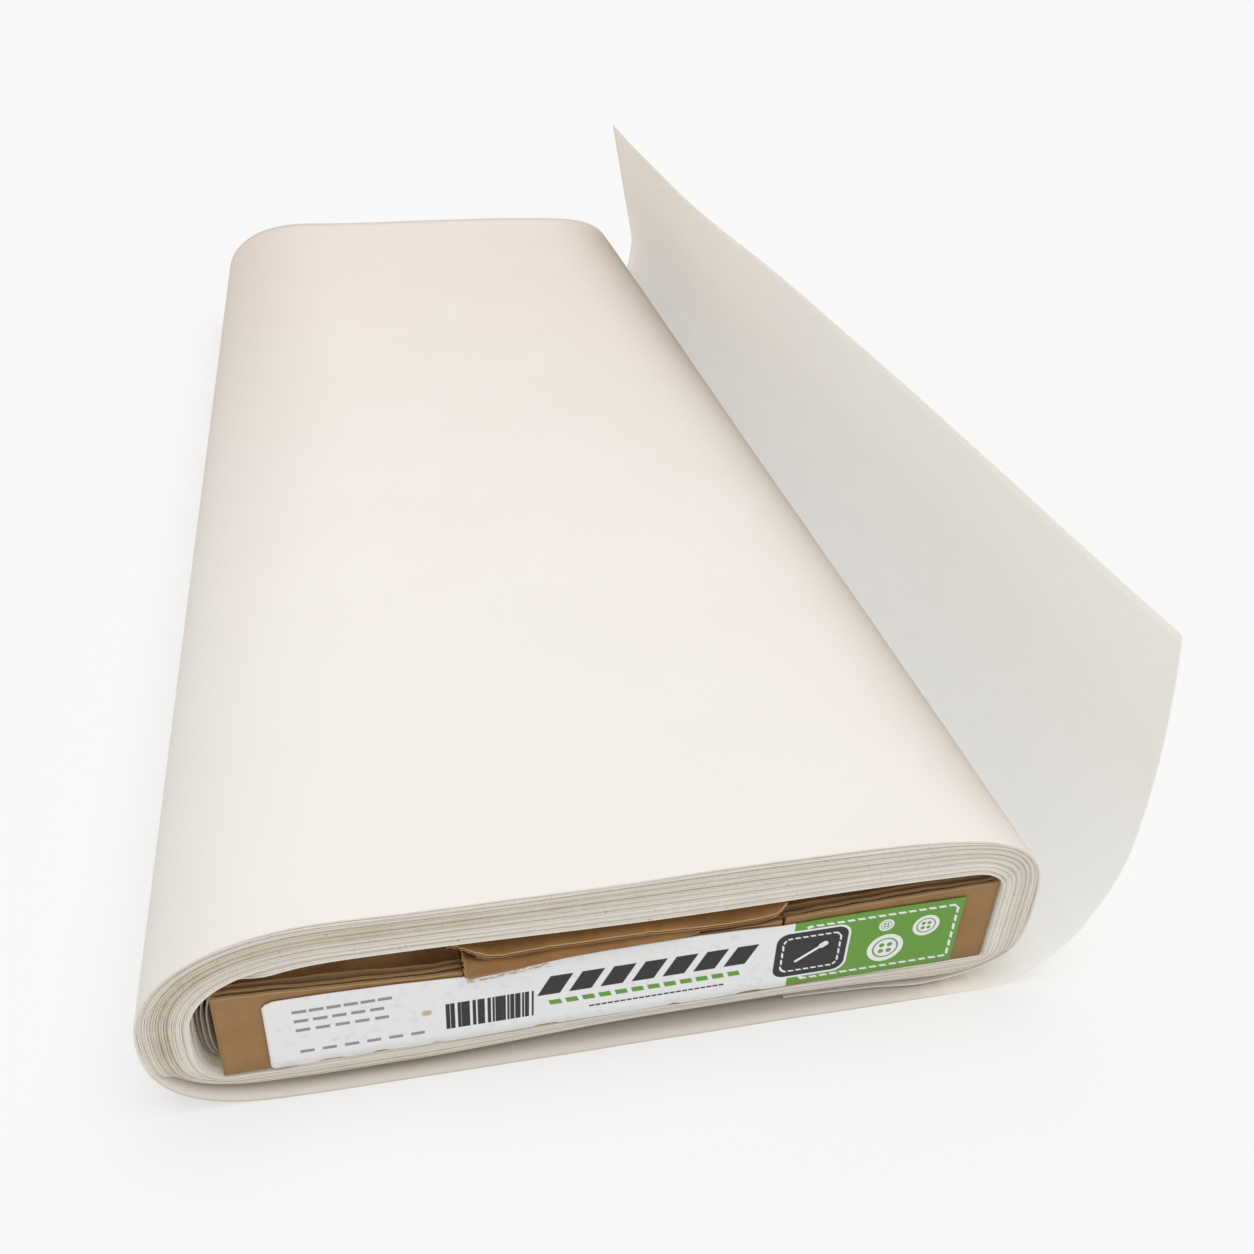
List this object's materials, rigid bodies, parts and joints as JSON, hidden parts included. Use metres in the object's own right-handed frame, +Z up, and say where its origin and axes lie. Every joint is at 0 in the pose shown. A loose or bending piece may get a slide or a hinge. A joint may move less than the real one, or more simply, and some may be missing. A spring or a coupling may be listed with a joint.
{
  "type": "roll of sew-in interfacing",
  "caption": "Nonwoven sew-in interfacing wound flat on a folded cardboard board, with a paper label on one end and its loose end curling up along one side.",
  "frame": {"origin": "under the middle of the whole thing, on the surface that it rests on", "axes": "+Y along the board from the labelled end to the far end, +X across the roll towards the loose end, +Z up"},
  "size_m": [0.2318, 0.5084, 0.1072],
  "materials": {
    "wound_interfacing": "matt nonwoven, warm white with beige cut edges",
    "loose_interfacing": "matt nonwoven, warm white",
    "board_cardboard": "matt brown corrugated",
    "end_cardboard": "matt brown corrugated",
    "flap_cardboard": "matt light brown corrugated with torn edges",
    "label_paper": "satin white paper printed in green and charcoal"
  },
  "bodies": {
    "root": {"wound_cloth": "wound_interfacing", "loose_end": "loose_interfacing", "board_core": "board_cardboard", "far_panel": "board_cardboard", "end_panel": "end_cardboard", "end_ply_middle": "end_cardboard", "end_ply_inner": "end_cardboard", "lock_tab": "flap_cardboard", "flap_liner": "flap_cardboard", "top_flap": "flap_cardboard", "label": "label_paper"}
  },
  "joints": []
}
